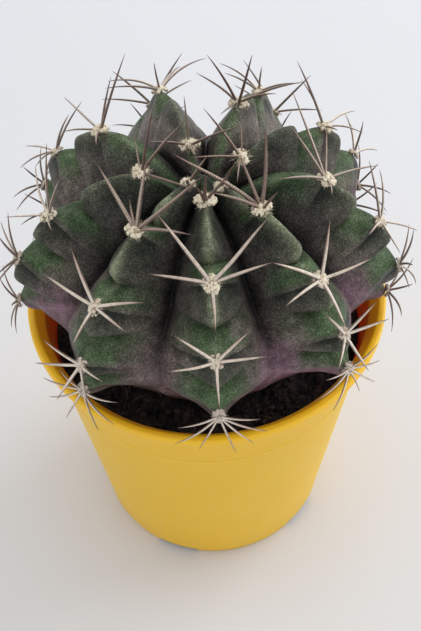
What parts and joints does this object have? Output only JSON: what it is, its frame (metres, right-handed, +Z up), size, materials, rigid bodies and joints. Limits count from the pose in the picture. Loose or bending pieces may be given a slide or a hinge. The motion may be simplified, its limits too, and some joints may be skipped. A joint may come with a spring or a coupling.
{
  "type": "potted moon cactus",
  "caption": "Ribbed dark green and purple globe cactus with woolly, spiny areoles, standing in soil in a small tapered yellow plastic pot.",
  "frame": {"origin": "centre of the pot's base, on the surface it stands on", "axes": "+Z up along the pot's axis, -Y towards the side the picture shows at the front"},
  "size_m": [0.095, 0.0962, 0.1404],
  "materials": {
    "pot_plastic": "satin injection-moulded plastic",
    "potting_soil": "loose dark peat with crumbs and fibres",
    "cactus_skin": "satin, finely speckled plant skin",
    "areole_wool_and_spines": "dry horny spines in felted wool"
  },
  "bodies": {
    "root": {"pot": "pot_plastic", "soil": "potting_soil", "cactus_body": "cactus_skin", "areole_1_1": "areole_wool_and_spines", "areole_1_2": "areole_wool_and_spines", "areole_1_3": "areole_wool_and_spines", "areole_1_4": "areole_wool_and_spines", "areole_2_1": "areole_wool_and_spines", "areole_2_2": "areole_wool_and_spines", "areole_2_3": "areole_wool_and_spines", "areole_2_4": "areole_wool_and_spines", "areole_2_5": "areole_wool_and_spines", "areole_3_1": "areole_wool_and_spines", "areole_3_2": "areole_wool_and_spines", "areole_3_3": "areole_wool_and_spines", "areole_3_4": "areole_wool_and_spines", "areole_4_1": "areole_wool_and_spines", "areole_4_2": "areole_wool_and_spines", "areole_4_3": "areole_wool_and_spines", "areole_4_4": "areole_wool_and_spines", "areole_4_5": "areole_wool_and_spines", "areole_5_1": "areole_wool_and_spines", "areole_5_2": "areole_wool_and_spines", "areole_5_3": "areole_wool_and_spines", "areole_5_4": "areole_wool_and_spines", "areole_5_5": "areole_wool_and_spines", "areole_6_1": "areole_wool_and_spines", "areole_6_2": "areole_wool_and_spines", "areole_6_3": "areole_wool_and_spines", "areole_6_4": "areole_wool_and_spines", "areole_6_5": "areole_wool_and_spines", "areole_7_1": "areole_wool_and_spines", "areole_7_2": "areole_wool_and_spines", "areole_7_3": "areole_wool_and_spines", "areole_7_4": "areole_wool_and_spines", "areole_8_1": "areole_wool_and_spines", "areole_8_2": "areole_wool_and_spines", "areole_8_3": "areole_wool_and_spines", "areole_8_4": "areole_wool_and_spines", "areole_9_1": "areole_wool_and_spines", "areole_9_2": "areole_wool_and_spines", "areole_9_3": "areole_wool_and_spines", "areole_9_4": "areole_wool_and_spines", "areole_9_5": "areole_wool_and_spines"}
  },
  "joints": []
}
